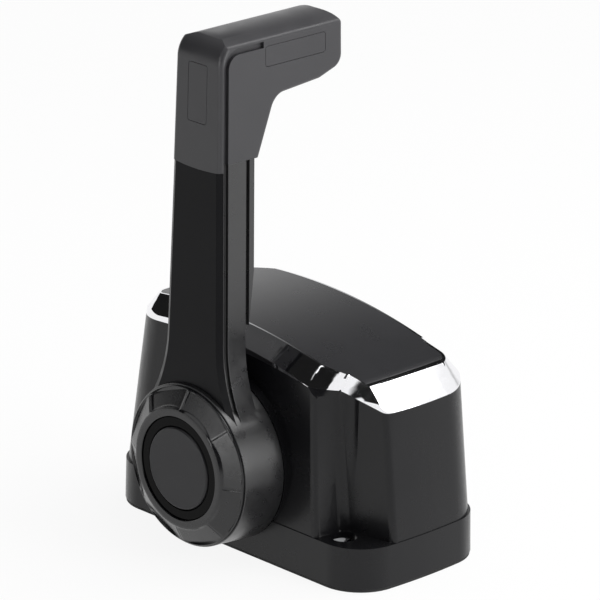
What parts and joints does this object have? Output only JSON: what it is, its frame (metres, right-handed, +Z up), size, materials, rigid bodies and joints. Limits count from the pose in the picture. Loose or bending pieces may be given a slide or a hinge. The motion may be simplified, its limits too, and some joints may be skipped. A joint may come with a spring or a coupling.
{
  "type": "boat throttle control lever",
  "caption": "top-mount engine control for a boat: upright lever with a side-facing handle on a round hub, arched housing with a chrome bezel, cable sectors inside",
  "frame": {"origin": "centre of the base's footprint on the mounting plane, at the underside of the gasket", "axes": "+X runs to the low forward end of the housing, -Y to the side that carries the lever, +Z up; the lever turns about a Y axis"},
  "size_m": [0.175, 0.1161, 0.2525],
  "materials": {
    "gasket": "matte",
    "housing": "fine grain",
    "cover": "fine grain",
    "bezel": "polished",
    "screws": "satin",
    "plate": "zinc plated",
    "spacer": "satin",
    "clamp": "matte",
    "bush": "matte",
    "switch": "matte",
    "steel": "satin",
    "gear": "oiled",
    "lever": "satin",
    "lever_face": "satin",
    "grip": "soft touch",
    "blank": "satin",
    "collar": "brushed",
    "hub_gloss": "gloss",
    "button": "satin"
  },
  "bodies": {
    "base": {"base_gasket": "gasket", "housing_shell": "housing", "chrome_bezel": "bezel", "top_cover": "cover", "base_plate": "plate", "frame_plate_front": "plate", "frame_plate_rear": "plate", "frame_spacers": "spacer", "frame_screws": "screws", "pivot_pins": "steel", "cable_clamp_shift": "clamp", "cable_clamp_throttle": "clamp", "shaft_bush_front": "bush", "shaft_bush_rear": "bush", "neutral_switch": "switch", "detent_spring": "steel"},
    "lever": {"main_shaft": "steel", "shaft_circlip": "steel", "hub_nut": "steel", "detent_cam": "steel", "drive_gear": "gear", "lever_core": "lever", "lever_outer_cover": "lever_face", "lever_inner_cover": "lever", "hub_collar": "collar", "hub_ring": "hub_gloss", "grip_outer_shell": "lever_face", "grip_body": "grip", "switch_blank": "blank", "grip_inlay": "blank", "button_spring": "steel"},
    "button": {"neutral_button": "button", "button_rod": "steel"},
    "shift_arm": {"shift_sector": "gear", "shift_pin": "steel"},
    "throttle_arm": {"throttle_sector": "gear", "throttle_pin": "steel"}
  },
  "joints": [
    {"name": "lever_swing", "type": "hinge", "parent": "base", "child": "lever", "pos_m": [-0.004, 0, 0.0464], "axis": [0, 1, 0], "range_deg": [-65, 90]},
    {"name": "shift_turn", "type": "hinge", "parent": "base", "child": "shift_arm", "pos_m": [0.044, 0, 0.0464], "axis": [0, 1, 0], "range_deg": [-46, 33.5]},
    {"name": "throttle_turn", "type": "hinge", "parent": "base", "child": "throttle_arm", "pos_m": [-0.0456, 0, 0.0464], "axis": [0, 1, 0], "range_deg": [-57.5, 42]},
    {"name": "neutral_button_press", "type": "slide", "parent": "lever", "child": "button", "axis": [0, 1, 0], "range_m": [0, 0.004], "stiffness_N_per_m": 800, "springref_m": -0.002, "deforming": ["button_spring"]}
  ],
  "couplings": [
    {"joint": "shift_turn", "follows": "lever_swing", "ratio": -0.5},
    {"joint": "throttle_turn", "follows": "lever_swing", "ratio": -0.625}
  ]
}
